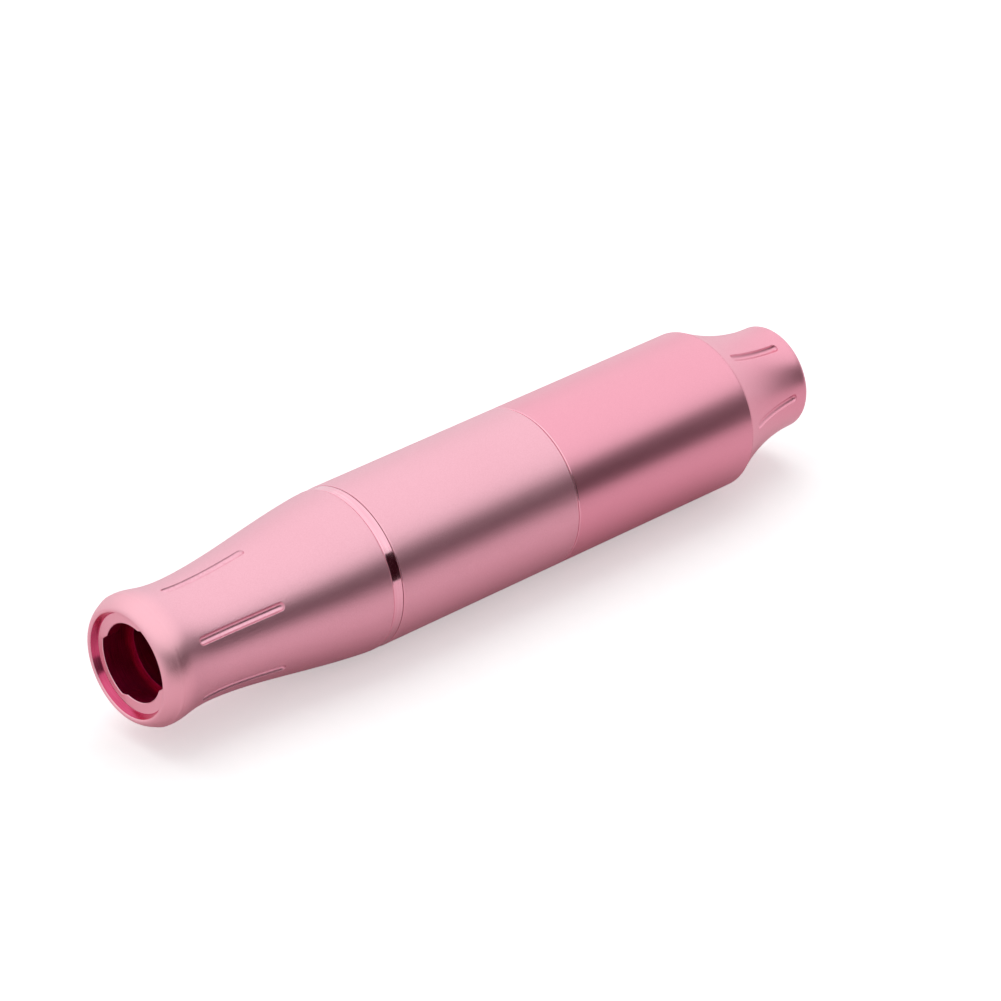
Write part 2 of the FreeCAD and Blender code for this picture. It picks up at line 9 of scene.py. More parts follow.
import bmesh
import bpy
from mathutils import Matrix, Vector


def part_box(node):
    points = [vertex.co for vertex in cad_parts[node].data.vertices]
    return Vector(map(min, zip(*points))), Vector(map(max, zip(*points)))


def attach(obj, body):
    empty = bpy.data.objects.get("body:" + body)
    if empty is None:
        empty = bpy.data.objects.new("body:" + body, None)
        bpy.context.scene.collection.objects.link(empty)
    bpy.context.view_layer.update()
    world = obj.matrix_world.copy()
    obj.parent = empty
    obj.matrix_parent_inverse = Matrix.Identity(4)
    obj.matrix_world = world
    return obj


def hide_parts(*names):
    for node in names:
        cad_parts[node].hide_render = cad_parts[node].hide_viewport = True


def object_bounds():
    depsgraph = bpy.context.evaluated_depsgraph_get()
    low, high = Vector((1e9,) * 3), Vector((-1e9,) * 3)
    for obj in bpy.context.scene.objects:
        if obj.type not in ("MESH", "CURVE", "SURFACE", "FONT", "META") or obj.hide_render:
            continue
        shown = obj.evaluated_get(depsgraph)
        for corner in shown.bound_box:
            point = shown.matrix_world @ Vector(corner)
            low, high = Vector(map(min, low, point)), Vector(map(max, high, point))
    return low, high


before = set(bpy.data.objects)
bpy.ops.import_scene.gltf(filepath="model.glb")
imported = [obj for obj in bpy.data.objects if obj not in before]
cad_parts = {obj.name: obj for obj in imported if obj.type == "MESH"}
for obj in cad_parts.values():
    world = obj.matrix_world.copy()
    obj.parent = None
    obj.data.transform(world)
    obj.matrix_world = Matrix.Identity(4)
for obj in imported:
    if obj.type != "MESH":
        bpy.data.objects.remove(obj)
cad_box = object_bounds()
MM = 0.001

# %% [markdown]
# ## Where things are along the axis
# Everything on this machine is round about one axis, so a place is told by two numbers: how far it is
# behind the front rim, and how far out it is from the axis. The frame's own boxes give both for each
# piece, which keeps the modelled shells exactly where the solid ones are.

# %% Axis and stations
AXIS_Z = (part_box("mid_barrel")[0].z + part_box("mid_barrel")[1].z) / 2
FRONT_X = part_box("grip_shell")[0].x


def ends(node):
    """How far behind the front rim a node starts and ends, in millimetres."""
    low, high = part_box(node)
    return (low.x - FRONT_X) / MM, (high.x - FRONT_X) / MM


def widest(node):
    """The largest radius of a node, in millimetres."""
    low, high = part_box(node)
    return (high.z - low.z) / 2 / MM


def around(u, r, turn):
    """The point u behind the rim and r from the axis; the turn is counted from the -Y side upwards."""
    angle = math.radians(turn)
    return Vector((FRONT_X + u * MM, -r * MM * math.cos(angle), AXIS_Z + r * MM * math.sin(angle)))


BODY_R = widest("mid_barrel")
GRIP_BACK = ends("grip_shell")[1]
TAIL_FRONT = ends("rear_barrel")[1]
TAIL_BACK = ends("tail_cap")[1]
print("axis height", round(AXIS_Z / MM, 3), "mm, body radius", round(BODY_R, 3), "mm, tail ends at",
      round(TAIL_BACK, 2), "mm")

# %% [markdown]
# ## Camera
# A long lens from a good half metre away, as for catalogue pictures of small things: it keeps the two
# ends of the pen at nearly the same scale. The camera is placed on a direction from the point it looks
# at.

# %% Camera
LENS_MM = 182.56
SENSOR_MM = 36.0
AIM = Vector((0.0061, 0.0, 0.01005))
AZIMUTH = -42.68
ELEVATION = 29.33
DISTANCE = 0.6317

azimuth = math.radians(AZIMUTH)
elevation = math.radians(ELEVATION)
towards_camera = Vector((
    math.sin(azimuth) * math.cos(elevation),
    -math.cos(azimuth) * math.cos(elevation),
    math.sin(elevation),
))
camera_data = bpy.data.cameras.new("camera")
camera_data.lens = LENS_MM
camera_data.sensor_width = SENSOR_MM
camera_data.clip_start = 0.01
camera = bpy.data.objects.new("camera", camera_data)
bpy.context.scene.collection.objects.link(camera)
camera.location = AIM + towards_camera * DISTANCE
camera.rotation_euler = towards_camera.to_track_quat("Z", "Y").to_euler()
bpy.context.scene.camera = camera
bpy.context.scene.view_settings.view_transform = "Standard"
print("camera at", [round(v, 4) for v in camera.location])

# %% [markdown]
# ## Colours
# A dye is matched on a screen, but shaders add up light, so each colour is written as it looks on
# a screen and turned into linear light by the standard curve: a short straight run in the darks, and a
# power above it.

# %% Screen colours
SCREEN_WHITE = 255
DARK_LIMIT = 0.04045
DARK_SLOPE = 12.92
CURVE_OFFSET = 0.055
CURVE_POWER = 2.4


def srgb(*on_screen):
    """A colour given as it looks on a screen, 0 to 255, turned into the linear light that shaders use."""
    channels = []
    for value in on_screen:
        share = value / SCREEN_WHITE
        if share <= DARK_LIMIT:
            channels.append(share / DARK_SLOPE)
        else:
            channels.append(((share + CURVE_OFFSET) / (1 + CURVE_OFFSET)) ** CURVE_POWER)
    return (*channels, 1.0)


print("mid grey in linear light:", round(srgb(128)[0], 3))

# %% [markdown]
# ## Helpers for node materials
# A shader is a graph of nodes. These few helpers keep the graphs short to write: one starts a material
# with its Principled shader, and the others add a node, a noise or a ramp and wire it up. Noise is
# measured in millimetres of grain, because the Object coordinates of every piece are metres in the frame.
# A noise seldom leaves the middle of its range, so the ramps start and end there.

# %% Material helpers
NOISE_LOW = 0.3
NOISE_HIGH = 0.7


def start_material(name, **uniform):
    """A material with a Principled shader. Values that are the same all over are set on its sockets."""
    material = bpy.data.materials.new(name)
    material.use_nodes = True
    shader = material.node_tree.nodes["Principled BSDF"]
    for key, value in uniform.items():
        shader.inputs[key.replace("_", " ")].default_value = value
    return material, material.node_tree, shader


def add(tree, kind, **settings):
    """A new node of a kind, with its settings."""
    node = tree.nodes.new(kind)
    for key, value in settings.items():
        setattr(node, key, value)
    return node


def place_in(tree):
    """Object coordinates: they stay with the piece when it moves."""
    return add(tree, "ShaderNodeTexCoord").outputs["Object"]


def grain(tree, size_mm, detail=2.0, stretch=(1, 1, 1)):
    """Noise whose grains are about size_mm across, from 0 to 1."""
    spread = add(tree, "ShaderNodeMapping")
    spread.inputs["Scale"].default_value = stretch
    noise = add(tree, "ShaderNodeTexNoise")
    noise.inputs["Scale"].default_value = 1 / (size_mm * MM)
    noise.inputs["Detail"].default_value = detail
    tree.links.new(place_in(tree), spread.inputs["Vector"])
    tree.links.new(spread.outputs["Vector"], noise.inputs["Vector"])
    return noise.outputs["Fac"]


def between_values(tree, source, low, high, start=NOISE_LOW, end=NOISE_HIGH):
    """Maps source's start to end on low to high, and holds it there outside."""
    span = add(tree, "ShaderNodeMapRange", clamp=True)
    span.inputs["From Min"].default_value = start
    span.inputs["From Max"].default_value = end
    span.inputs["To Min"].default_value = low
    span.inputs["To Max"].default_value = high
    tree.links.new(source, span.inputs["Value"])
    return span.outputs["Result"]


def between_colours(tree, source, low, high, start=NOISE_LOW, end=NOISE_HIGH):
    """A colour ramp from low to high as source goes from start to end."""
    ramp = add(tree, "ShaderNodeValToRGB")
    ramp.color_ramp.elements[0].position = start
    ramp.color_ramp.elements[0].color = low
    ramp.color_ramp.elements[1].position = end
    ramp.color_ramp.elements[1].color = high
    tree.links.new(source, ramp.inputs["Fac"])
    return ramp.outputs["Color"]


def relief(tree, shader, source, depth_mm):
    """Bump of the given depth."""
    bump = add(tree, "ShaderNodeBump")
    bump.inputs["Strength"].default_value = 1.0
    bump.inputs["Distance"].default_value = depth_mm * MM
    tree.links.new(source, bump.inputs["Height"])
    tree.links.new(bump.outputs["Normal"], shader.inputs["Normal"])


print("noise is used from", NOISE_LOW, "to", NOISE_HIGH)

# %% [markdown]
# ## Dyed aluminium
# The pink is a dye in the clear oxide skin of the aluminium, so the surface reflects like metal, and its
# colour is the colour of its reflections. What sets the finishes apart is what was done before dyeing:
# the grip and the middle barrel were blasted with coarse beads, the rear barrel and the tail with fine
# ones, and the grip's flutes were milled afterwards. One recipe makes all three, with the size and the
# depth of the grain as its values. The colour is a little darker in the pits of the grain, which is
# painted shade. The lip of the nose is painted paler, a painted sheen, so there the colour fades to
# another.

# %% Dyed aluminium finishes
LIP_END = 1.8
LIP_FADE_END = 4.2
PATCH_MM = 14.0
PATCH_SHARE = 0.3
DYE_LOW = 0.35
DYE_HIGH = 0.85
GLOSS_SPREAD = 0.03


def fade_to_lip_sheen(tree, tone, lip_colour):
    """Fades a colour to the lip's painted sheen over the first millimetres behind the rim."""
    along = add(tree, "ShaderNodeSeparateXYZ")
    tree.links.new(place_in(tree), along.inputs["Vector"])
    lip_end = FRONT_X + LIP_END * MM
    fade_end = FRONT_X + LIP_FADE_END * MM
    fade = between_values(tree, along.outputs["X"], 1.0, 0.0, lip_end, fade_end)
    # Painted sheen: the lip's paler colour stands in for light on it.
    lip_sheen_mix = add(tree, "ShaderNodeMix", data_type="RGBA")
    tree.links.new(fade, lip_sheen_mix.inputs["Factor"])
    tree.links.new(tone, lip_sheen_mix.inputs["A"])
    lip_sheen_mix.inputs["B"].default_value = lip_colour
    return lip_sheen_mix.outputs["Result"]


def dyed_aluminium(name, colour, deep_colour, roughness, grain_mm, depth_mm, painted_lip_sheen=None):
    """Blasted and dyed aluminium, painted a little darker in the pits as painted shade, and uneven over
    areas.
    """
    material, tree, shader = start_material(name, Metallic=1.0, Coat_Weight=0.25, Coat_Roughness=0.3)
    pits = grain(tree, grain_mm, detail=1.0)
    patches = grain(tree, PATCH_MM)
    blend = add(tree, "ShaderNodeMath", operation="MULTIPLY_ADD")
    blend.inputs[1].default_value = PATCH_SHARE
    tree.links.new(patches, blend.inputs[0])
    tree.links.new(pits, blend.inputs[2])
    # Painted shade: the colour is darker in the pits of the grain; the patches are uneven dye.
    tone = between_colours(tree, blend.outputs["Value"], deep_colour, colour, DYE_LOW, DYE_HIGH)
    if painted_lip_sheen:
        tone = fade_to_lip_sheen(tree, tone, painted_lip_sheen)
    tree.links.new(tone, shader.inputs["Base Color"])
    rough = between_values(tree, pits, roughness + GLOSS_SPREAD, roughness - GLOSS_SPREAD)
    tree.links.new(rough, shader.inputs["Roughness"])
    relief(tree, shader, pits, depth_mm)
    return material


dyed_finishes = {
    # The blasted finish fades to a painted sheen on the lip.
    "blasted_pink": dyed_aluminium(
        "blasted_pink", srgb(243, 184, 199), srgb(238, 177, 192),
        roughness=0.36, grain_mm=0.16, depth_mm=0.021, painted_lip_sheen=srgb(249, 187, 200)),
    "satin_pink": dyed_aluminium(
        "satin_pink", srgb(242, 168, 187), srgb(238, 163, 182),
        roughness=0.33, grain_mm=0.15, depth_mm=0.007),
    "milled_pink": dyed_aluminium(
        "milled_pink", srgb(245, 185, 201), srgb(236, 172, 189),
        roughness=0.33, grain_mm=0.4, depth_mm=0.003),
}
print("dyed finishes:", ", ".join(dyed_finishes))

# %% [markdown]
# The recess in the nose was turned after blasting, so its wall is bright, and dye on a bright wall looks
# deeper, because light crosses it several times before it comes out again; its colour is deepened further
# as painted shade of the recess. The socket behind it is deeper still, which is painted shade of the deep
# bore, and duller: it was reamed, and lint and wear from cartridges take its shine. The socket's crimson
# also paints shade into the seams of the barrels. Both finishes are the same recipe, with fine tool marks
# round the axis.

# %% Bored finishes
DULLING = 0.08


def bored_aluminium(name, colour, deep_colour, roughness):
    """Dyed aluminium off a boring tool, without the grain of the beads."""
    material, tree, shader = start_material(name, Metallic=1.0, Coat_Weight=0.3, Coat_Roughness=0.2)
    bore_marks = grain(tree, size_mm=0.05, detail=0.0, stretch=(1, 0.02, 0.02))
    tree.links.new(between_colours(tree, bore_marks, deep_colour, colour), shader.inputs["Base Color"])
    rough = between_values(tree, grain(tree, size_mm=1.5), roughness, roughness + DULLING)
    tree.links.new(rough, shader.inputs["Roughness"])
    relief(tree, shader, bore_marks, depth_mm=0.0008)
    return material


bored_finishes = {
    # Painted shade: the bored pink is deepened partly as shade of the recess, the crimson as shade of the
    # bore and seams.
    "bored_pink": bored_aluminium(
        "bored_pink", srgb(212, 84, 124), srgb(198, 66, 106), roughness=0.16),
    "socket_crimson": bored_aluminium(
        "socket_crimson", srgb(196, 16, 92), srgb(166, 8, 74), roughness=0.42),
}
print("bored finishes:", ", ".join(bored_finishes))

# %% [markdown]
# The ring and the sleeve under the grip were polished on the lathe, and so were the broken edges of the
# barrels. A polished face keeps faint rings from the cutting tool, so its grain is stretched round the
# axis instead of being even in all directions.

# %% Polished finish
POLISH_BEST = 0.10
POLISH_WORST = 0.16

polished_pink, tree, shader = start_material(
    "polished_pink", Metallic=1.0, Coat_Weight=0.3, Coat_Roughness=0.08)
tool_marks = grain(tree, size_mm=0.06, detail=0.0, stretch=(1, 0.01, 0.01))
tone = between_colours(tree, tool_marks, srgb(247, 180, 197), srgb(252, 196, 210))
tree.links.new(tone, shader.inputs["Base Color"])
rough = between_values(tree, grain(tree, size_mm=2.0), POLISH_BEST, POLISH_WORST)
tree.links.new(rough, shader.inputs["Roughness"])
relief(tree, shader, tool_marks, depth_mm=0.0006)
print("polished finish:", polished_pink.name)

# %% [markdown]
# ## Plain metals of the works
# Inside are bought parts: ground steel pins, nickel plated cans and nuts, brass contacts, sintered bronze
# bushes, a bare aluminium housing and a copper winding. Each is a metal whose tool marks run round the
# axis; they differ in colour, in how sharp their reflections are, and in how strong the marks are.

# %% Plain metal finishes
HANDLING_DULL = 0.06


def turned_metal(name, colour, dull_colour, roughness, mark_mm, mark_depth_mm):
    """Bare or plated metal off a lathe, with a faint mottle of handling."""
    material, tree, shader = start_material(name, Metallic=1.0)
    marks = grain(tree, mark_mm, detail=1.0, stretch=(1, 0.05, 0.05))
    mottle = grain(tree, size_mm=1.6, detail=3.0)
    tone = between_colours(tree, mottle, srgb(*dull_colour), srgb(*colour))
    tree.links.new(tone, shader.inputs["Base Color"])
    rough = between_values(tree, mottle, roughness + HANDLING_DULL, roughness)
    tree.links.new(rough, shader.inputs["Roughness"])
    relief(tree, shader, marks, mark_depth_mm)
    return material


# Each row: name, colour, colour where handled, roughness, size and depth of the marks in millimetres
METALS = (
    ("bright_steel", (214, 214, 216), (190, 190, 194), 0.16, 0.08, 0.0015),
    ("nickel", (216, 211, 202), (196, 190, 180), 0.20, 0.08, 0.0015),
    ("brass", (224, 190, 118), (198, 160, 90), 0.22, 0.08, 0.0015),
    ("bronze", (176, 128, 82), (146, 100, 62), 0.42, 0.15, 0.004),
    ("bare_aluminium", (214, 216, 219), (192, 195, 199), 0.28, 0.12, 0.003),
    ("copper", (214, 134, 96), (178, 96, 62), 0.30, 0.10, 0.006),
    ("magnet", (120, 122, 128), (92, 94, 100), 0.38, 0.2, 0.003),
)
plain_metals = {row[0]: turned_metal(*row) for row in METALS}
print("plain metals:", ", ".join(plain_metals))

# %% [markdown]
# ## Plastics, rubber and lead covers
# The drive bar and the insulator of the jack are white acetal, the motor's end cap is black nylon, the
# O-rings are black nitrile rubber and the leads have soft covers. None of them is flat: moulded plastic
# has a fine orange peel, and rubber has a dusty bloom that scatters light at its edges.

# %% Plastic and rubber finishes
DUST_DULL = 0.1


def moulded(name, colour, worn_colour, roughness, peel_mm, peel_depth_mm, bloom):
    """A moulded or rubbery surface: faint peel, uneven gloss, and a bloom of scattered light for rubber."""
    material, tree, shader = start_material(name, Sheen_Weight=bloom, Sheen_Roughness=0.4)
    peel = grain(tree, peel_mm)
    dust = grain(tree, size_mm=1.2, detail=3.0)
    tone = between_colours(tree, dust, srgb(*worn_colour), srgb(*colour))
    tree.links.new(tone, shader.inputs["Base Color"])
    rough = between_values(tree, dust, roughness + DUST_DULL, roughness)
    tree.links.new(rough, shader.inputs["Roughness"])
    relief(tree, shader, peel, peel_depth_mm)
    return material


# Each row: name, colour, colour where worn, roughness, size and depth of the peel in millimetres, bloom
SOFT_PARTS = (
    ("white_plastic", (236, 234, 228), (226, 222, 214), 0.35, 0.3, 0.004, 0.0),
    ("black_plastic", (34, 34, 36), (48, 48, 50), 0.40, 0.2, 0.006, 0.0),
    ("black_rubber", (26, 26, 27), (44, 43, 42), 0.62, 0.15, 0.006, 0.2),
    ("red_lead", (176, 34, 30), (150, 30, 28), 0.45, 0.4, 0.004, 0.0),
    ("black_lead", (30, 30, 31), (44, 44, 45), 0.45, 0.4, 0.004, 0.0),
)
soft_parts = {row[0]: moulded(*row) for row in SOFT_PARTS}
print("plastics and rubber:", ", ".join(soft_parts))

# %% [markdown]
# Every node of the frame now gets the finish that its record names. The frame's own meshes aren't
# touched: only the material in their slots changes.

# %% Finish the frame's nodes
finishes = {**dyed_finishes, **bored_finishes, **plain_metals, **soft_parts, "polished_pink": polished_pink}
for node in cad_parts.values():
    for place in node.material_slots:
        place.material = finishes[place.material.name.split(".")[0]]
print("finished", len(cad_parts), "nodes with", len(finishes), "finishes")

# %% [markdown]
# ## Turned shells
# The shells are turned parts, so each is an outline spun about the axis. An outline is a short list of
# corners, each with the radius it is rounded off by: real edges are never sharp, and the thin light lines
# along them are what shows where one piece ends and the next starts. A guard point beside each rounding
# keeps the smooth shading of the round from spreading over the flat next to it.

# %% Rounded outlines
ARC_STEPS = 4
GUARD = 0.15


def rounded(corners):
    """Points along corners (u, r, rounding radius), with the arcs put in."""
    points = []
    count = len(corners)
    for i, (u, r, radius) in enumerate(corners):
        corner = Vector((u, r))
        if not radius:
            points.append(corner)
            continue
        back = (Vector(corners[i - 1][:2]) - corner).normalized()
        ahead = (Vector(corners[(i + 1) % count][:2]) - corner).normalized()
        half = back.angle(ahead) / 2
        reach = radius / math.tan(half)
        centre = corner + (back + ahead).normalized() * radius / math.sin(half)
        start = corner + back * reach
        end = corner + ahead * reach
        points.append(start + back * radius * GUARD)
        for step in range(ARC_STEPS + 1):
            spoke = (start - centre).lerp(end - centre, step / ARC_STEPS)
            points.append(centre + spoke.normalized() * radius)
        points.append(end + ahead * radius * GUARD)
    return points


print("a rounding adds", ARC_STEPS + 3, "points")

# %% [markdown]
# Spinning turns each point of an outline into a ring of vertices, and a skin of faces joins the rings. It
# is done by hand rather than with a screw modifier, because the flutes and the teeth later need single
# faces left out and single rings reshaped. A face also knows which finish it has: the first is the
# piece's own.

# %% Spinning
SEGMENTS = 90
OWN_FINISH = 0


def even_turns(first=0.0):
    """Even stations round the axis, in degrees."""
    return [first + 360 * i / SEGMENTS for i in range(SEGMENTS)]


def ring_of(form, u, r, turns):
    """A ring of vertices; r may depend on the turn."""
    radii = [r(turn) if callable(r) else r for turn in turns]
    return [form.verts.new(around(u, radius, turn)) for radius, turn in zip(radii, turns)]


def skin(form, rings, skip=(), slot_of=lambda ring: OWN_FINISH):
    """Faces between each ring and the next, round to the first; slot_of says which finish follows a ring."""
    for i, ring in enumerate(rings):
        following = rings[(i + 1) % len(rings)]
        for j in range(len(ring)):
            k = (j + 1) % len(ring)
            if (i, j) in skip:
                continue
            face = form.faces.new((ring[j], ring[k], following[k], following[j]))
            face.material_index = slot_of(i)


print("faces round the axis:", SEGMENTS)

# %% [markdown]
# A finished form becomes an object that rides on its body, and the solid that it takes the place of is
# hidden. Its edges are shaded smooth except where they are sharper than a set angle, as a turned part is
# smooth round and crisp at steps.

# %% Forms to pieces
SAME_PLACE = 0.0002
SHARP_ANGLE = 32


def as_piece(form, name, body, node, *slots):
    """Cleans the form, makes it an object that rides on a body, and hides the CAD node it takes the place
    of.
    """
    bmesh.ops.remove_doubles(form, verts=form.verts[:], dist=SAME_PLACE * MM)
    loose = [vertex for vertex in form.verts if not vertex.link_faces]
    bmesh.ops.delete(form, geom=loose, context="VERTS")
    bmesh.ops.recalc_face_normals(form, faces=form.faces[:])
    open_edges = sum(1 for edge in form.edges if not edge.is_manifold)
    mesh = bpy.data.meshes.new(name)
    form.to_mesh(mesh)
    form.free()
    for polygon in mesh.polygons:
        polygon.use_smooth = True
    mesh.set_sharp_from_angle(angle=math.radians(SHARP_ANGLE))
    for slot in slots:
        mesh.materials.append(finishes[slot])
    piece = bpy.data.objects.new(name, mesh)
    bpy.context.scene.collection.objects.link(piece)
    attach(piece, body)
    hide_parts(node)
    print(name, len(mesh.polygons), "faces,", open_edges, "open edges")


def turned_piece(name, corners, node, *slots, slot_of=lambda ring: OWN_FINISH):
    """A piece of the handle that is one outline spun round the axis."""
    form = bmesh.new()
    turns = even_turns()
    skin(form, [ring_of(form, u, r, turns) for u, r in rounded(corners)], slot_of=slot_of)
    as_piece(form, name, "handle", node, *slots)


print("edges are sharp from", SHARP_ANGLE, "degrees")

# %% [markdown]
# ## Trim ring
# The ring is a bright washer with its own rounded edges, a hair smaller than the body. It sits on the
# sleeve that the grip screws onto, and shows as the one mirror-like line of the machine.

# %% Trim ring
EDGE = 0.15
FINE_EDGE = 0.04
RING_EDGE = 0.08
RING_SEAT_R = 8.02
ring_front, ring_back = ends("trim_ring")
ring_r = widest("trim_ring")

turned_piece("polished_trim_ring", [
    (ring_front, RING_SEAT_R, 0),
    (ring_front, ring_r, RING_EDGE),
    (ring_back, ring_r, FINE_EDGE),
    (ring_back, RING_SEAT_R, 0),
], "trim_ring", "polished_pink")

# %% [markdown]
# ## Joints between the barrels
# In front each barrel has a fine step, which the joint's shadow makes a dark line; its faces also take the
# socket's crimson, painted shade. The edges beside the joint were broken and polished after blasting, so
# they show as bright lines. Both come from choosing the finish ring by ring, which needs no separate pieces.

# %% Front steps of the barrels
SEAM_EDGE = 0.08
SEAM_WIDTH = 0.08
FINE_SEAM_WIDTH = 0.06
SEAM_DEPTH = 0.35
SEAM_RINGS = 2
# The faces in the seam take the crimson of the socket as painted shade.
SEAM_SHADE_FINISH = 1
EDGE_FINISH = 2
JOINT_BACK_EDGE = 0.16
JOINT_FRONT_EDGE = 0.12
FRONT_EDGE_RING = 3
EDGE_RINGS = ARC_STEPS + 2
BACK_EDGE_RING = FRONT_EDGE_RING + EDGE_RINGS + 1


def shadow_gap(u, width, edge):
    """Corners of the front edge of a barrel, with the fine step that lets a seam show dark."""
    return [
        (u, BODY_R - SEAM_DEPTH, 0),
        (u + width, BODY_R - SEAM_DEPTH, 0),
        (u + width, BODY_R, edge),
    ]


def barrel_slot(*edges):
    """Which finish follows a ring: painted shade in the seam, polished on the turned edges, else the
    barrel's own.
    """
    def slot_of(ring):
        if ring < SEAM_RINGS:
            return SEAM_SHADE_FINISH
        on_edge = any(first <= ring < first + EDGE_RINGS for first in edges)
        return EDGE_FINISH if on_edge else OWN_FINISH
    return slot_of


print("front steps are", SEAM_WIDTH, "and", FINE_SEAM_WIDTH, "mm wide")

# %% [markdown]
# ## Barrels
# The barrels are plain tubes. The middle one ends in a rounded edge, and the rear one runs out crisp into
# the tail. Inside, the sockets for the screwed joints are there too, so that a piece taken off by itself is
# a whole part.

# %% Barrels
SOCKET_R = 9.3
BORE_R = 8.6
SPIGOT_R = 9.28
SPIGOT_LENGTH = 6.0
FLANGE = 1.9
mid_back = ends("mid_barrel")[1]
spigot_front = ends("rear_barrel")[0]
sleeve_back = ring_back + SPIGOT_LENGTH
tail_spigot = TAIL_FRONT - SPIGOT_LENGTH

turned_piece("blasted_mid_barrel", [
    (ring_back, SOCKET_R, 0),
    *shadow_gap(ring_back, SEAM_WIDTH, SEAM_EDGE),
    (mid_back, BODY_R, JOINT_BACK_EDGE),
    (mid_back, SOCKET_R, FINE_EDGE),
    (spigot_front - FLANGE, SOCKET_R, 0),
    (spigot_front - FLANGE, BORE_R, 0),
    (sleeve_back, BORE_R, 0),
    (sleeve_back, SOCKET_R, 0),
], "mid_barrel", "blasted_pink", "socket_crimson", "polished_pink",
    slot_of=barrel_slot(FRONT_EDGE_RING, BACK_EDGE_RING))

turned_piece("satin_rear_barrel", [
    (mid_back, SPIGOT_R, 0),
    *shadow_gap(mid_back, FINE_SEAM_WIDTH, JOINT_FRONT_EDGE),
    (TAIL_FRONT, BODY_R, FINE_EDGE),
    (TAIL_FRONT, SOCKET_R, 0),
    (tail_spigot, SOCKET_R, 0),
    (tail_spigot, BORE_R, 0),
    (spigot_front, BORE_R, 0),
    (spigot_front, SPIGOT_R, 0),
], "rear_barrel", "satin_pink", "socket_crimson", "polished_pink",
    slot_of=barrel_slot(FRONT_EDGE_RING))

# %% [markdown]
# ## Flutes
# The grip and the tail have six flutes each, cut along them with a small cutter: steep straight walls, a
# round floor between them and round ends. A boolean cut would leave a ragged border of thin triangles,
# which bare metal shows at once. Instead a window is left open in the skin, and filled with loops that
# have the flute's own shape: each loop is the last one shrunk towards the flute's middle line, and pushed
# in by the depth there.

# %% Section of a flute
FLUTE_WIDTH = 1.1
FLUTE_DEPTH = 0.4
FLUTE_FLOOR_R = 0.631
FLUTE_WALL_SLOPE = 2.25
FLUTE_SOFTNESS = 0.035
half_width = FLUTE_WIDTH / 2


def flute_depth(offset):
    """How deep the flute is at a distance from its middle line: a round floor between two straight walls."""
    wall = (half_width - offset) * FLUTE_WALL_SLOPE
    floor_height = math.sqrt(FLUTE_FLOOR_R ** 2 - min(offset, half_width) ** 2)
    floor_depth = floor_height - (FLUTE_FLOOR_R - FLUTE_DEPTH)
    cut = (wall + floor_depth - math.hypot(wall - floor_depth, FLUTE_SOFTNESS)) / 2
    return (cut + math.hypot(cut, FLUTE_SOFTNESS)) / 2


print("flute depth in the middle", round(flute_depth(0), 3), "mm")

# %% [markdown]
# The loops run once round the flute: a quarter round at the front, one long side, a quarter round at the
# back, and the other side as its mirror image. Each spoke says which vertex of the window it starts from,
# and which way it leads from the middle line. The offsets lie close together where the wall meets the
# skin, because a narrow edge needs them there.

# %% Flute loops
FLUTE_OFFSETS = (0.78, 0.66, 0.60, 0.575, 0.56, 0.545, 0.53, 0.50, 0.46, 0.40, 0.30, 0.18, 0.08, 0.0)
WINDOW_COLUMNS = 2
WINDOW_MARGIN = 0.6
WINDOW_STEP = 0.2
END_STEPS = 5


def flute_stations(front, back, runs):
    """Rings that a window needs: three past the straight part at each end, and the straight part's own."""
    start = front + half_width
    end = back - half_width
    straight = [start + (end - start) * i / runs for i in range(runs + 1)]
    before = [front - WINDOW_MARGIN, front - WINDOW_STEP, front + WINDOW_STEP]
    behind = [back - WINDOW_STEP, back + WINDOW_STEP, back + WINDOW_MARGIN]
    return before + straight + behind


def flute_spokes(stations, first):
    """For each point of a loop: ring and column shift of its window vertex, middle, and way out from it."""
    last = first + len(stations) - 1
    start = stations[END_STEPS - 2]
    end = stations[-END_STEPS + 1]
    side = []
    for step in range(END_STEPS + 1):
        angle = math.radians(90 * step / END_STEPS)
        ring = first + max(0, step - WINDOW_COLUMNS)
        side.append((ring, min(step, WINDOW_COLUMNS), start, -math.cos(angle), math.sin(angle)))
    for i in range(END_STEPS - 1, len(stations) - END_STEPS + 1):
        side.append((first + i, WINDOW_COLUMNS, stations[i], 0.0, 1.0))
    for step in range(END_STEPS, -1, -1):
        angle = math.radians(90 * step / END_STEPS)
        ring = last - max(0, step - WINDOW_COLUMNS)
        side.append((ring, min(step, WINDOW_COLUMNS), end, math.cos(angle), math.sin(angle)))
    mirrored = [(ring, -shift, u, along, -across) for ring, shift, u, along, across in side[-2:0:-1]]
    return side + mirrored


def flute(form, rings, stations, first, column, turn, radius_at, milled_slot):
    """Fills the window that is centred on a column, from ring first on, with the loops of a flute."""
    spokes = flute_spokes(stations, first)
    loop = [rings[ring][(column + shift) % SEGMENTS] for ring, shift, *_ in spokes]
    for offset in FLUTE_OFFSETS:
        inner = []
        for _, _, middle, along, across in spokes:
            u = middle + offset * along
            surface = radius_at(u)
            swing = math.degrees(offset * across / surface)
            inner.append(form.verts.new(around(u, surface - flute_depth(offset), turn + swing)))
        for i in range(len(loop)):
            k = (i + 1) % len(loop)
            face = form.faces.new((loop[i], loop[k], inner[k], inner[i]))
            face.material_index = milled_slot if offset < half_width else OWN_FINISH
        loop = inner


print("a flute has", len(FLUTE_OFFSETS), "loops")

# %% [markdown]
# ## Outlines of the grip and the tail
# Both are waisted, and the waist is a smooth run of curves. A cubic curve needs only four points, and its
# radius at any station is found by halving the curve until the station is met.

# %% Smooth outlines
HALVINGS = 30


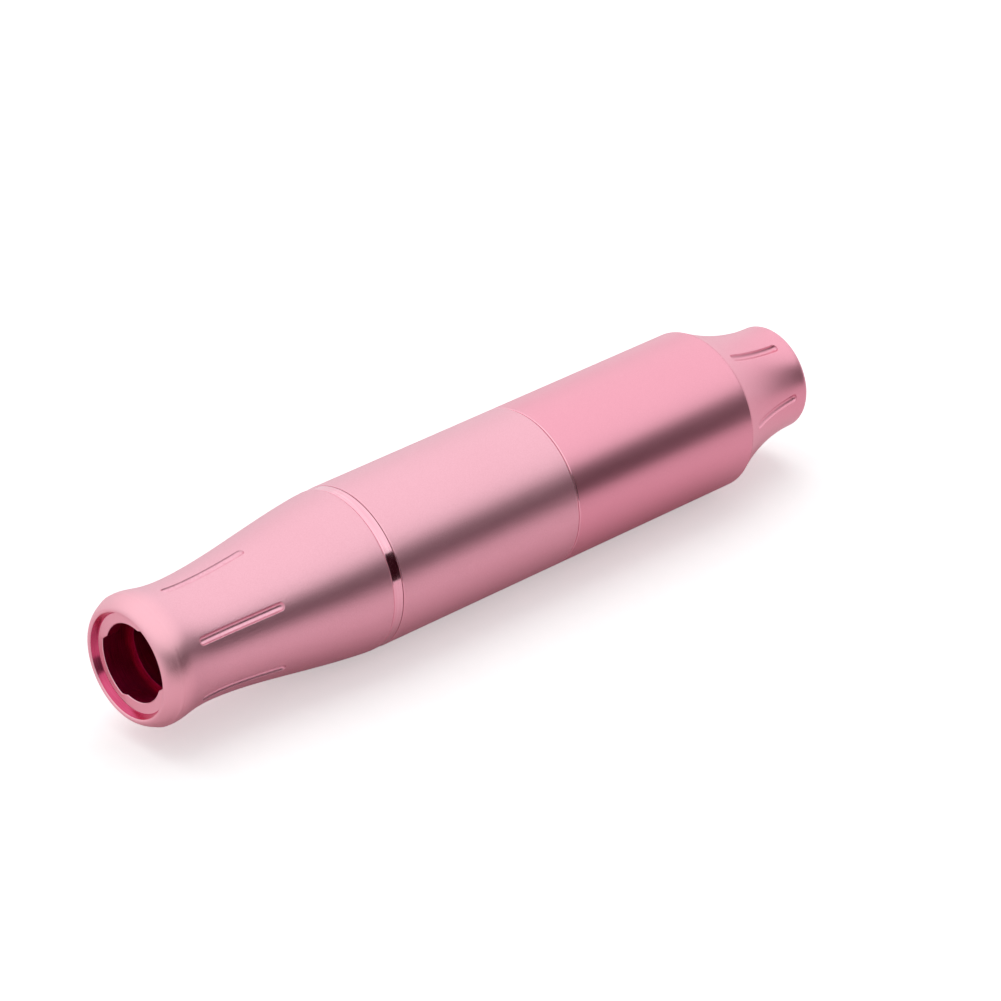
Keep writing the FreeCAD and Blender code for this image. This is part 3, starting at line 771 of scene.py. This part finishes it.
def on_curve(poles, share):
    """The point a share of the way along a cubic curve."""
    left = 1 - share
    weights = (left ** 3, 3 * share * left ** 2, 3 * share ** 2 * left, share ** 3)
    return tuple(sum(w * pole[axis] for w, pole in zip(weights, poles)) for axis in (0, 1))


def radius_finder(curves):
    """A function that gives the radius of a run of curves at any station."""
    def radius_at(u):
        for poles in curves:
            if u <= poles[-1][0]:
                low, high = 0.0, 1.0
                for _ in range(HALVINGS):
                    middle = (low + high) / 2
                    if on_curve(poles, middle)[0] < u:
                        low = middle
                    else:
                        high = middle
                return on_curve(poles, low)[1]
        return curves[-1][-1][1]
    return radius_at


def spaced(start, end, steps):
    """Stations between start and end, without either."""
    return [start + (end - start) * i / steps for i in range(1, steps)]


print("stations are met within 1 /", 2 ** HALVINGS, "of a curve")

# %% [markdown]
# The grip's outline is three curves: the lip that rolls out of the rim, the dip behind its crest, and the
# long flare to the full radius of the body.

# %% Curves of the grip
RIM_R = 7.05
CREST = (2.6, 8.42)
WAIST = (8.6, 7.74)
FLARE_BACK = (GRIP_BACK - EDGE, BODY_R)
lip_curve = [(0, RIM_R), (0, 7.50), (1.456, CREST[1]), CREST]
dip_curve = [CREST, (4.1, CREST[1]), (5.3, WAIST[1]), WAIST]
flare_curve = [WAIST, (15.875, WAIST[1]), (24.12, 9.838), FLARE_BACK]
grip_radius = radius_finder([lip_curve, dip_curve, flare_curve])
print("grip radius at the waist", round(grip_radius(WAIST[0]), 3), "mm, halfway along",
      round(grip_radius(GRIP_BACK / 2), 3), "mm")

# %% [markdown]
# ## Bayonet teeth
# In the face of the grip is a recess with two teeth that hold the cartridge. The teeth need rings whose
# radius changes round the axis, and the stations round the axis are shifted a little so that the ramps of
# the teeth start and end on one.

# %% Bayonet teeth
TOOTH_R = 5.02
LUG_R = 5.64
TOOTH_SPAN = 84
TOOTH_RAMP = 10
TOOTH_CENTRES = (118.5, 298.5)
GRIP_FIRST_TURN = 2.0


def apart(turn, other):
    """The angle between two turns, in degrees."""
    return abs((turn - other + 180) % 360 - 180)


def tooth_share(turn):
    """1 over a tooth, 0 over the gap beside it, and a straight ramp between them."""
    away = min(apart(turn, centre) for centre in TOOTH_CENTRES)
    return min(1.0, max(0.0, (TOOTH_SPAN / 2 + TOOTH_RAMP - away) / TOOTH_RAMP))


def tooth_wall(turn):
    """The radius of the opening between and beside the teeth."""
    return LUG_R + (TOOTH_R - LUG_R) * tooth_share(turn)


def grip_turns():
    """Even stations round the axis, with the nearest ones moved onto the ends of the ramps."""
    turns = even_turns(GRIP_FIRST_TURN)
    for centre in TOOTH_CENTRES:
        for side in (-1, 1):
            for reach in (TOOTH_SPAN / 2, TOOTH_SPAN / 2 + TOOTH_RAMP):
                ramp_end = (centre + side * reach) % 360
                nearest = min(range(SEGMENTS), key=lambda i: abs(turns[i] - ramp_end))
                turns[nearest] = ramp_end
    return turns


print("opening between the teeth", 2 * TOOTH_R, "mm, beside them", 2 * LUG_R, "mm")

# %% [markdown]
# The flutes lie evenly round the piece. For each, the column of vertices nearest to it is the middle of
# its window, and the faces of the window stay out of the skin.

# %% Flutes round a piece
FLUTES = 6


def flute_places(turns, first_turn):
    """The turn of each flute, and the column of vertices nearest to it."""
    places = []
    for i in range(FLUTES):
        turn = first_turn + 360 * i / FLUTES
        column = min(range(SEGMENTS), key=lambda j: apart(turns[j], turn))
        places.append((turn, column))
    return places


def window_faces(stations, first, turns, first_turn):
    """The faces that are left out of the skin for the flutes."""
    open_faces = set()
    for _, column in flute_places(turns, first_turn):
        for ring in range(first, first + len(stations) - 1):
            for shift in range(-WINDOW_COLUMNS, WINDOW_COLUMNS):
                open_faces.add((ring, (column + shift) % SEGMENTS))
    return open_faces


def add_flutes(form, rings, stations, first, turns, first_turn, radius_at, milled_slot):
    """Fills all the windows of a piece."""
    for turn, column in flute_places(turns, first_turn):
        flute(form, rings, stations, first, column, turn, radius_at, milled_slot)


print("flutes are", 360 / FLUTES, "degrees apart")

# %% [markdown]
# ## Outside of the grip
# From the rim the outline rolls over the lip, with a low line where the nose was blended into the collar,
# and runs through the dip and along the flare. The stations are close on the lip, where the curve is
# tight, and the window of the flutes brings its own.

# %% Outside of the grip
BEAD_STATION = 1.95
BEAD_REACH = 0.35
BEAD_HEIGHT = 0.055
LIP_STEPS = 14
BEAD_STEPS = 11
DIP_STEPS = 6
FLARE_STEPS = 14
GRIP_FLUTES = (5.8, 18.3)
GRIP_FLUTE_RUNS = 12


def bead(u):
    """A low raised line round the lip, where the nose radius was blended into the collar."""
    away = min(1.0, abs(u - BEAD_STATION) / BEAD_REACH)
    return BEAD_HEIGHT * (1 + math.cos(math.pi * away)) / 2


bead_front = BEAD_STATION - BEAD_REACH
bead_stations = spaced(bead_front, CREST[0], BEAD_STEPS) + [CREST[0]]
window = flute_stations(*GRIP_FLUTES, GRIP_FLUTE_RUNS)
dip_stations = spaced(CREST[0], window[0], DIP_STEPS)
flare_stations = spaced(window[-1], FLARE_BACK[0], FLARE_STEPS)

outline = [on_curve(lip_curve, i / LIP_STEPS) for i in range(LIP_STEPS)]
outline = [point for point in outline if point[0] < bead_front]
outline += [(u, grip_radius(u) + bead(u)) for u in bead_stations]
outline += [(u, grip_radius(u)) for u in dip_stations]
first_window = len(outline)
outline += [(u, grip_radius(u)) for u in window + flare_stations]
print("outside of the grip:", len(outline), "stations, flutes from ring", first_window)

# %% [markdown]
# ## Inside of the grip
# From the back the skirt runs over the groove for the O-ring to the socket, which guides the cartridge,
# and on to the wider chamber for its lugs and the teeth in front of that. The recess wall flares a
# little, with a soft rim that leads the cartridge in.

# %% Inside of the grip
SKIRT_R = 6.63
SEAL_GROOVE = (29.0, 30.6)
SEAL_GROOVE_R = 8.16
SOCKET_FRONT = 5.25
SOCKET_BACK = 14.25
SOCKET_WALL = 0.2
CARTRIDGE_R = 5.0
TOOTH_BACK = 2.95
TOOTH_EDGE = 0.08
RECESS_DEPTH = 1.05
RIM_RINGS = 3

# The socket's finish starts behind the rounded back edge of the skirt
socket_from = len(outline) + ARC_STEPS + 3
outline += rounded([
    (GRIP_BACK, BODY_R, EDGE),
    (GRIP_BACK, SKIRT_R, EDGE),
    (SEAL_GROOVE[1], SKIRT_R, FINE_EDGE),
    (SEAL_GROOVE[1], SEAL_GROOVE_R, FINE_EDGE),
    (SEAL_GROOVE[0], SEAL_GROOVE_R, FINE_EDGE),
    (SEAL_GROOVE[0], SKIRT_R, FINE_EDGE),
    (SOCKET_BACK + SOCKET_WALL, SKIRT_R, FINE_EDGE),
    (SOCKET_BACK + SOCKET_WALL, CARTRIDGE_R, EDGE),
    (SOCKET_FRONT, CARTRIDGE_R, FINE_EDGE),
    (SOCKET_FRONT, LUG_R, FINE_EDGE),
])
# The blasted face starts at the front edge of the teeth
face_from = len(outline) + 3
outline += [
    (TOOTH_BACK, LUG_R),
    (TOOTH_BACK, lambda turn: tooth_wall(turn) + TOOTH_EDGE * tooth_share(turn)),
    (TOOTH_BACK - TOOTH_EDGE, tooth_wall),
    (RECESS_DEPTH + TOOTH_EDGE, tooth_wall),
    (RECESS_DEPTH, lambda turn: tooth_wall(turn) + TOOTH_EDGE),
]
wall_from = len(outline)
# The wall of the recess, from its corner out over the rim
outline += [
    (RECESS_DEPTH, 6.35),
    (RECESS_DEPTH - 0.03, 6.42),
    (RECESS_DEPTH - 0.1, 6.46),
    (EDGE, 6.75),
    (0.05, 6.83),
    (0.0, 6.95),
]
rim_from = len(outline) - RIM_RINGS
print("inside of the grip: socket from ring", socket_from, "face from", face_from, "rim from", rim_from)

# %% [markdown]
# ## Grip
# The outline is spun, the windows are filled with flutes, and the finishes are given ring by ring:
# blasting beads reached the outside, the rim and the faces of the teeth, the recess wall was bored bright
# after it, with its deeper colour partly painted shade, and the socket is deep crimson, painted shade.

# %% Grip
GRIP_FLUTE_TURN = 30
# The socket's crimson is painted shade, and so is part of the bored wall's depth.
BORED_FINISH = 1
SOCKET_SHADE_FINISH = 2
MILLED_FINISH = 3


def grip_slot(ring):
    """Which finish follows a ring of the grip."""
    if ring < socket_from or ring >= rim_from or face_from <= ring < wall_from:
        return OWN_FINISH
    return BORED_FINISH if ring >= wall_from else SOCKET_SHADE_FINISH


form = bmesh.new()
turns = grip_turns()
rings = [ring_of(form, u, r, turns) for u, r in outline]
skin(form, rings, window_faces(window, first_window, turns, GRIP_FLUTE_TURN), grip_slot)
add_flutes(form, rings, window, first_window, turns, GRIP_FLUTE_TURN, grip_radius, MILLED_FINISH)
as_piece(form, "blasted_grip", "grip", "grip_shell",
         "blasted_pink", "bored_pink", "socket_crimson", "milled_pink")

# %% [markdown]
# ## Outline of the tail cap
# The tail narrows in one concave sweep to a round end with a rounded lip, and the jack stands at the
# bottom of the well inside it. The sweep leaves the barrel at a slope, so the joint shows as a crisp
# line, and ends along the axis. The well's depth comes from the jack: its contact stands clear of the
# bottom.

# %% Outline of the tail cap
TAIL_LIP = 0.6
TAIL_LIP_STEPS = 6
LIP_INSET = 0.02
TAIL_FLUTES = (TAIL_FRONT + 2.1, TAIL_FRONT + 11.6)
TAIL_FLUTE_RUNS = 9
TAIL_STEPS = 3
NECK_R = 6.9
NECK_SLOPE = 0.53
JOINT_STEP = 0.01
JOINT_REACH = 0.02
JACK_CONTACT_LENGTH = 8.3
JACK_FLANGE = 1.0
WELL_R = 5.9
WELL_EDGE = 0.12
WELL_BACK = ends("jack_shell")[1] - JACK_CONTACT_LENGTH - JACK_FLANGE
WEB = 1.8
BUSH_HOLE_R = 4.02
CAVITY_R = 7.6

neck = (TAIL_BACK - TAIL_LIP, NECK_R)
third = (neck[0] - TAIL_FRONT) / 3
tail_curve = [
    (TAIL_FRONT, BODY_R),
    (TAIL_FRONT + third, BODY_R - NECK_SLOPE * third),
    (neck[0] - third, NECK_R),
    neck,
]
tail_radius = radius_finder([tail_curve])
window = flute_stations(*TAIL_FLUTES, TAIL_FLUTE_RUNS)
front_stations = [TAIL_FRONT + JOINT_REACH] + spaced(TAIL_FRONT, window[0], TAIL_STEPS)
back_stations = spaced(window[-1], neck[0], TAIL_STEPS)

outline = [(TAIL_FRONT, BODY_R - JOINT_STEP)]
outline += [(u, tail_radius(u)) for u in front_stations]
first_window = len(outline)
outline += [(u, tail_radius(u)) for u in window + back_stations]
for step in range(TAIL_LIP_STEPS + 1):
    angle = math.pi / 2 * step / TAIL_LIP_STEPS
    outline.append((neck[0] + TAIL_LIP * math.sin(angle), NECK_R - TAIL_LIP * (1 - math.cos(angle))))
# The bored finish starts halfway round the edge of the well
bored_from = len(outline) + 2 + ARC_STEPS // 2
outline += rounded([
    (TAIL_BACK, NECK_R - TAIL_LIP - LIP_INSET, 0),
    (TAIL_BACK, WELL_R, WELL_EDGE),
    (WELL_BACK, WELL_R, EDGE),
    (WELL_BACK, BUSH_HOLE_R, FINE_EDGE),
    (WELL_BACK - WEB, BUSH_HOLE_R, FINE_EDGE),
    (WELL_BACK - WEB, CAVITY_R, 0),
    (tail_spigot, CAVITY_R, FINE_EDGE),
    (tail_spigot, SPIGOT_R, FINE_EDGE),
    (TAIL_FRONT, SPIGOT_R, 0),
])
print("tail cap:", len(outline), "rings, well", round(TAIL_BACK - WELL_BACK, 2), "mm deep")

# %% [markdown]
# ## Tail cap
# It is spun and fluted as the grip is, with six shorter flutes. These were cut before the fine blasting,
# so they have the satin of the rest, and only the well is bored bright, its deeper colour partly painted
# shade of the well.

# %% Tail cap
TAIL_FLUTE_TURN = 3


def tail_slot(ring):
    """Which finish follows a ring of the tail cap."""
    return BORED_FINISH if ring >= bored_from else OWN_FINISH


form = bmesh.new()
turns = even_turns(TAIL_FLUTE_TURN)
rings = [ring_of(form, u, r, turns) for u, r in outline]
skin(form, rings, window_faces(window, first_window, turns, TAIL_FLUTE_TURN), tail_slot)
add_flutes(form, rings, window, first_window, turns, TAIL_FLUTE_TURN, tail_radius, OWN_FINISH)
as_piece(form, "satin_tail_cap", "handle", "tail_cap", "satin_pink", "bored_pink")

# %% [markdown]
# ## Studio
# Metal shows its surroundings, so the studio is part of the finish. The world is a white tent. It is
# bright to the camera and in reflections, and dimmer as a light, so that matt things aren't washed out by
# it.

# %% Tent
TENT_FILL = 0.5
world = bpy.data.worlds.new("tent")
bpy.context.scene.world = world
world.use_nodes = True
tree = world.node_tree
background = tree.nodes["Background"]
background.inputs["Color"].default_value = (1, 1, 1, 1)
rays = add(tree, "ShaderNodeLightPath")
seen = add(tree, "ShaderNodeMath", operation="MAXIMUM")
tree.links.new(rays.outputs["Is Camera Ray"], seen.inputs[0])
tree.links.new(rays.outputs["Is Glossy Ray"], seen.inputs[1])
seen_through = add(tree, "ShaderNodeMath", operation="MAXIMUM")
tree.links.new(seen.outputs["Value"], seen_through.inputs[0])
tree.links.new(rays.outputs["Is Transmission Ray"], seen_through.inputs[1])
strength = between_values(tree, seen_through.outputs["Value"], TENT_FILL, 1.0, 0.0, 1.0)
tree.links.new(strength, background.inputs["Strength"])
print("tent fill as a light:", TENT_FILL)

# %% [markdown]
# The floor is a round sheet of white paper. It is lifted by a little light of its own, more to the camera
# than in reflections, so that it melts into the tent and the machine seems to lie on plain white.

# %% Floor
FLOOR_R = 1.4
FLOOR_SEGMENTS = 96
FLOOR_LIFT = 0.42
MIRRORED_LIFT = 0.05
PAPER_GRAIN = 3.0

floor_mesh = bpy.data.meshes.new("floor")
floor_form = bmesh.new()
bmesh.ops.create_circle(floor_form, cap_ends=True, segments=FLOOR_SEGMENTS, radius=FLOOR_R)
floor_form.to_mesh(floor_mesh)
floor_form.free()
floor = bpy.data.objects.new("floor", floor_mesh)
bpy.context.scene.collection.objects.link(floor)
floor.location.z = cad_box[0].z
floor_paper, tree, shader = start_material("floor_paper", Roughness=0.9, Specular_IOR_Level=0.0)
fibres = grain(tree, PAPER_GRAIN, detail=4.0)
tone = between_colours(tree, fibres, srgb(240, 240, 240), srgb(243, 243, 243))
tree.links.new(tone, shader.inputs["Base Color"])
rays = add(tree, "ShaderNodeLightPath")
direct = add(tree, "ShaderNodeMath", operation="MULTIPLY")
direct.inputs[1].default_value = FLOOR_LIFT
tree.links.new(rays.outputs["Is Camera Ray"], direct.inputs[0])
mirrored = add(tree, "ShaderNodeMath", operation="MAXIMUM")
tree.links.new(rays.outputs["Is Glossy Ray"], mirrored.inputs[0])
tree.links.new(rays.outputs["Is Transmission Ray"], mirrored.inputs[1])
lift = add(tree, "ShaderNodeMath", operation="MULTIPLY_ADD")
lift.inputs[1].default_value = MIRRORED_LIFT
tree.links.new(mirrored.outputs["Value"], lift.inputs[0])
tree.links.new(direct.outputs["Value"], lift.inputs[2])
shader.inputs["Emission Color"].default_value = (1, 1, 1, 1)
tree.links.new(lift.outputs["Value"], shader.inputs["Emission Strength"])
floor_mesh.materials.append(floor_paper)
print("floor at z =", round(floor.location.z, 5))

# %% [markdown]
# Round the stage runs a low bowl of dark cloth, a flag, with an opening for the machine. It draws the
# soft dark line along the barrels that makes them read as metal. Cameras, shadows and soft light pass it
# by, so it changes nothing but reflections, and no view of the object has it in the picture.

# %% Flag
FLAG_GAP = 0.105
FLAG_REACH = 0.6
FLAG_FOOT = 0.0005
FLAG_HEIGHT = 0.32
FLAG_CORNER_STEPS = 24


def flag_outline(gap, height):
    """A stadium round the machine, gap away from it, at the given height over the floor."""
    points = []
    half = (cad_box[1].x - cad_box[0].x) / 2
    for end, first in ((half, -90), (-half, 90)):
        for step in range(FLAG_CORNER_STEPS + 1):
            angle = math.radians(first + 180 * step / FLAG_CORNER_STEPS)
            points.append((end + gap * math.cos(angle), gap * math.sin(angle), height))
    return points


def show_in_reflections_only(thing):
    """Hides a thing from the camera, from soft light and from shadows."""
    thing.visible_camera = False
    thing.visible_diffuse = False
    thing.visible_shadow = False


flag_mesh = bpy.data.meshes.new("flag")
inner = flag_outline(FLAG_GAP, FLAG_FOOT)
outer = flag_outline(FLAG_REACH, FLAG_HEIGHT)
count = len(inner)
quads = [(i, (i + 1) % count, count + (i + 1) % count, count + i) for i in range(count)]
flag_mesh.from_pydata(inner + outer, [], quads)
flag = bpy.data.objects.new("flag", flag_mesh)
bpy.context.scene.collection.objects.link(flag)
flag.location.z = floor.location.z
show_in_reflections_only(flag)
print("flag from", FLAG_GAP, "to", FLAG_REACH, "m out,", FLAG_HEIGHT, "m high")

# %% [markdown]
# The cloth is wine red, as the dark side of a dyed surface keeps its hue, and it fades to pale grey at the
# back, where a studio has its white backdrop. It also glows faintly in its own colour though it is no
# lamp, a painted glow. The tones are pairs of a heading round the stage and how pale the cloth is there.

# %% Flag cloth
WINE_RED = (0.022, 0.005, 0.008, 1)
PALE_GREY = (0.95, 0.93, 0.94, 1)
FLAG_TONES = [
    (-180, 0.8), (-150, 0.5), (-124, 0.08),
    (-90, 0.0), (-46, 0.0), (-26, 0.30),
    (-11, 0.75), (5, 1.0), (180, 0.8),
]
FLAG_GLOW = 0.25

flag_cloth, tree, shader = start_material("flag_cloth", Roughness=0.9, Specular_IOR_Level=0.0)
across = add(tree, "ShaderNodeSeparateXYZ")
tree.links.new(place_in(tree), across.inputs["Vector"])
heading = add(tree, "ShaderNodeMath", operation="ARCTAN2")
tree.links.new(across.outputs["Y"], heading.inputs[0])
tree.links.new(across.outputs["X"], heading.inputs[1])
turn_share = between_values(tree, heading.outputs["Value"], 0.0, 1.0, -math.pi, math.pi)
ramp = add(tree, "ShaderNodeValToRGB")
tree.links.new(turn_share, ramp.inputs["Fac"])
stops = ramp.color_ramp.elements
for degrees, _ in FLAG_TONES[1:-1]:
    stops.new((degrees + 180) / 360)
for stop, (degrees, paleness) in zip(stops, FLAG_TONES):
    stop.position = (degrees + 180) / 360
    stop.color = [dark + (pale - dark) * paleness for dark, pale in zip(WINE_RED, PALE_GREY)]
tone = ramp.outputs["Color"]
tree.links.new(tone, shader.inputs["Base Color"])
tree.links.new(tone, shader.inputs["Emission Color"])
# Painted glow: the cloth shines faintly in its own colour, though it is no lamp.
shader.inputs["Emission Strength"].default_value = FLAG_GLOW
flag_mesh.materials.append(flag_cloth)
print("flag cloth:", len(stops), "tones round the stage")

# %% [markdown]
# A sheet of rose card lies on the floor inside the flag, and again only reflections see it. The lower
# half of the body mirrors the floor close by, which on white paper would wash the dye out; the card keeps
# it deep. Its rose is a painted reflection of the pink glow that the dyed body throws on the paper near
# it.

# %% Rose card
CARD_HEIGHT = 0.0001
card_mesh = bpy.data.meshes.new("rose_card")
edge = flag_outline(FLAG_GAP, CARD_HEIGHT)
card_mesh.from_pydata(edge, [], [range(len(edge))])
card = bpy.data.objects.new("rose_card", card_mesh)
bpy.context.scene.collection.objects.link(card)
card.location.z = floor.location.z
show_in_reflections_only(card)
painted_bounce_card, tree, shader = start_material("rose_card_paper", Roughness=0.9, Specular_IOR_Level=0.0)
fibres = grain(tree, PAPER_GRAIN, detail=4.0)
# Painted reflection: the rose stands in for the body's pink glow on the paper.
tone = between_colours(tree, fibres, srgb(248, 227, 233), srgb(250, 231, 236))
tree.links.new(tone, shader.inputs["Base Color"])
card_mesh.materials.append(painted_bounce_card)
print("card", len(edge), "points round")

# %% [markdown]
# Two broad lamps hang over the stage. The key lamp stands a little behind, as it does for most pictures
# of metal, lights the floor and whatever is matt, and gives the shadow its direction. The overhead glow
# is weak: the dyed metal mirrors it along its top, on top of the tent. Keeping them apart lets each be
# set without the other.

# %% Lamps
KEY_WATTS = 5.5
GLOW_WATTS = 1.7


def broad_lamp(name, size, energy, location):
    """A square area lamp that looks at the middle of the stage."""
    data = bpy.data.lights.new(name, "AREA")
    data.shape = "SQUARE"
    data.size = size
    data.energy = energy
    lamp = bpy.data.objects.new(name, data)
    bpy.context.scene.collection.objects.link(lamp)
    lamp.location = location
    lamp.rotation_euler = Vector(location).to_track_quat("Z", "Y").to_euler()
    return lamp


key_lamp = broad_lamp("key_lamp", size=1.2, energy=KEY_WATTS, location=(0.1, 0.35, 1.0))
key_lamp.visible_glossy = False
glow_lamp = broad_lamp("glow_lamp", size=2.4, energy=GLOW_WATTS, location=(0.15, 0.0, 1.1))
glow_lamp.visible_diffuse = False
print("lamps:", key_lamp.name, KEY_WATTS, "W,", glow_lamp.name, GLOW_WATTS, "W")
